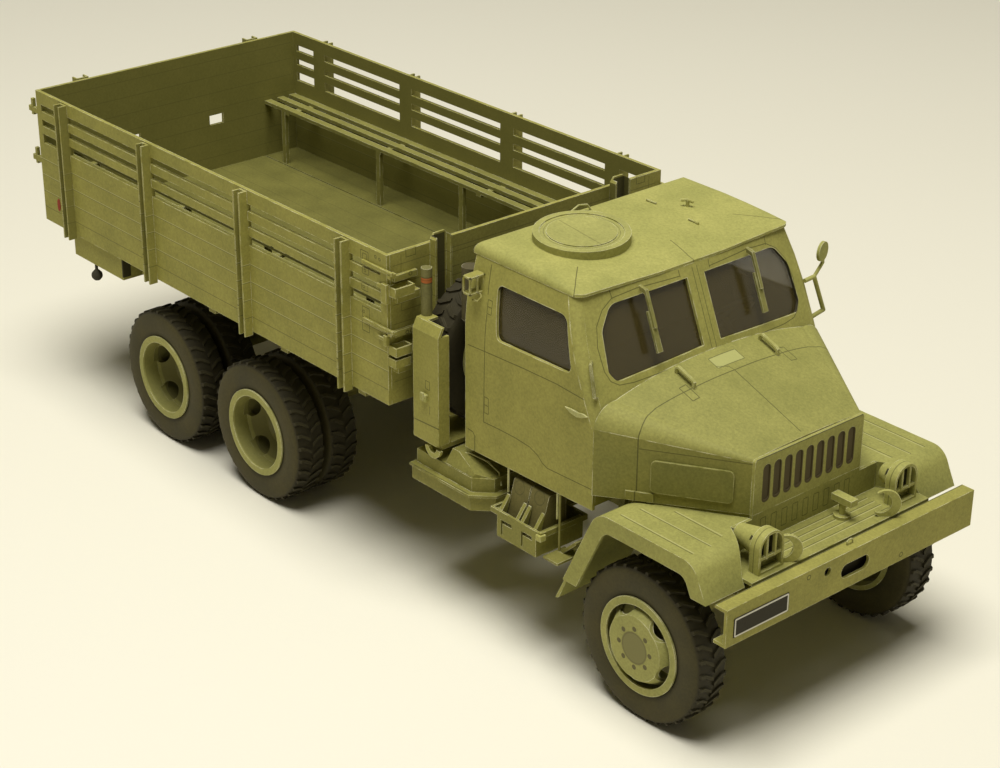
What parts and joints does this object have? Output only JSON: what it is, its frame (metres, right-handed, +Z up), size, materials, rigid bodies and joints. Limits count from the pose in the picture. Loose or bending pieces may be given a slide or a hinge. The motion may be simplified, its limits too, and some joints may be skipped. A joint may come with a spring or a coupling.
{
  "type": "card scale model of a six-wheel military cargo truck",
  "caption": "Printed-card scale model of a bonneted military cargo truck: slatted open bed with benches, closed cab with roof hatch, spare wheel behind it and turning wheels.",
  "frame": {"origin": "on the ground, under the middle of the box round the whole model", "axes": "+X forward along the longest extent, +Y to the driver's left, +Z up"},
  "size_m": [0.2782, 0.0964, 0.0993],
  "materials": {
    "card_green": "matt printed card, olive green",
    "tyre_card": "matt dark grey painted card",
    "card_dark": "matt dark brown card",
    "card_grey": "satin grey paint",
    "clear_film": "clear film"
  },
  "bodies": {
    "truck": {"axles": "card_green", "banded_tube": "card_green", "battery_box": "card_green", "bed_crossbeams": "card_green", "bed_floor": "card_green", "bed_front_board": "card_green", "bed_side_left": "card_green", "bed_side_right": "card_green", "bed_sills": "card_green", "bench_left": "card_green", "bench_right": "card_green", "cab_back": "card_green", "cab_floor": "card_green", "cab_roof": "card_green", "cab_seat": "card_dark", "cab_side_left": "card_green", "cab_side_right": "card_green", "cab_steps": "card_green", "can_rack": "card_green", "cans": "card_green", "dashboard": "card_dark", "deck_fittings": "card_green", "driveline": "card_green", "fender_left": "card_green", "fender_right": "card_green", "frame_crossmembers": "card_green", "frame_rail_left": "card_green", "frame_rail_right": "card_green", "front_bumper": "card_green", "front_deck": "card_green", "fuel_tank": "card_green", "grille_panel": "card_green", "headlamps": "card_green", "hood_side_left": "card_green", "hood_side_right": "card_green", "hood_top": "card_green", "intake_stack": "card_grey", "leaf_springs": "card_green", "mirror_and_handle": "card_green", "rear_skirts": "card_green", "roof_hatch": "card_green", "spare_carrier": "card_green", "spare_rim": "card_green", "spare_tyre": "tyre_card", "tailgate": "card_green", "window_glass": "clear_film", "windscreen_frame": "card_green", "wipers": "card_green"},
    "front_wheel_left": {"front_tyre_left": "tyre_card", "front_rim_left": "card_green"},
    "rear_wheels_1_left": {"rear_tyres_1_left": "tyre_card", "rear_rims_1_left": "card_green"},
    "rear_wheels_2_left": {"rear_tyres_2_left": "tyre_card", "rear_rims_2_left": "card_green"},
    "front_wheel_right": {"front_tyre_right": "tyre_card", "front_rim_right": "card_green"},
    "rear_wheels_1_right": {"rear_tyres_1_right": "tyre_card", "rear_rims_1_right": "card_green"},
    "rear_wheels_2_right": {"rear_tyres_2_right": "tyre_card", "rear_rims_2_right": "card_green"}
  },
  "joints": [
    {"name": "front_wheel_left_spin", "type": "hinge", "parent": "truck", "child": "front_wheel_left", "pos_m": [0.1117, 0.0361, 0.0195], "axis": [0, 1, 0], "continuous": true},
    {"name": "rear_wheels_1_left_spin", "type": "hinge", "parent": "truck", "child": "rear_wheels_1_left", "pos_m": [-0.0315, 0.0349, 0.0195], "axis": [0, 1, 0], "continuous": true},
    {"name": "rear_wheels_2_left_spin", "type": "hinge", "parent": "truck", "child": "rear_wheels_2_left", "pos_m": [-0.0763, 0.0349, 0.0195], "axis": [0, 1, 0], "continuous": true},
    {"name": "front_wheel_right_spin", "type": "hinge", "parent": "truck", "child": "front_wheel_right", "pos_m": [0.1117, -0.0361, 0.0195], "axis": [0, 1, 0], "continuous": true},
    {"name": "rear_wheels_1_right_spin", "type": "hinge", "parent": "truck", "child": "rear_wheels_1_right", "pos_m": [-0.0315, -0.0349, 0.0195], "axis": [0, 1, 0], "continuous": true},
    {"name": "rear_wheels_2_right_spin", "type": "hinge", "parent": "truck", "child": "rear_wheels_2_right", "pos_m": [-0.0763, -0.0349, 0.0195], "axis": [0, 1, 0], "continuous": true}
  ]
}
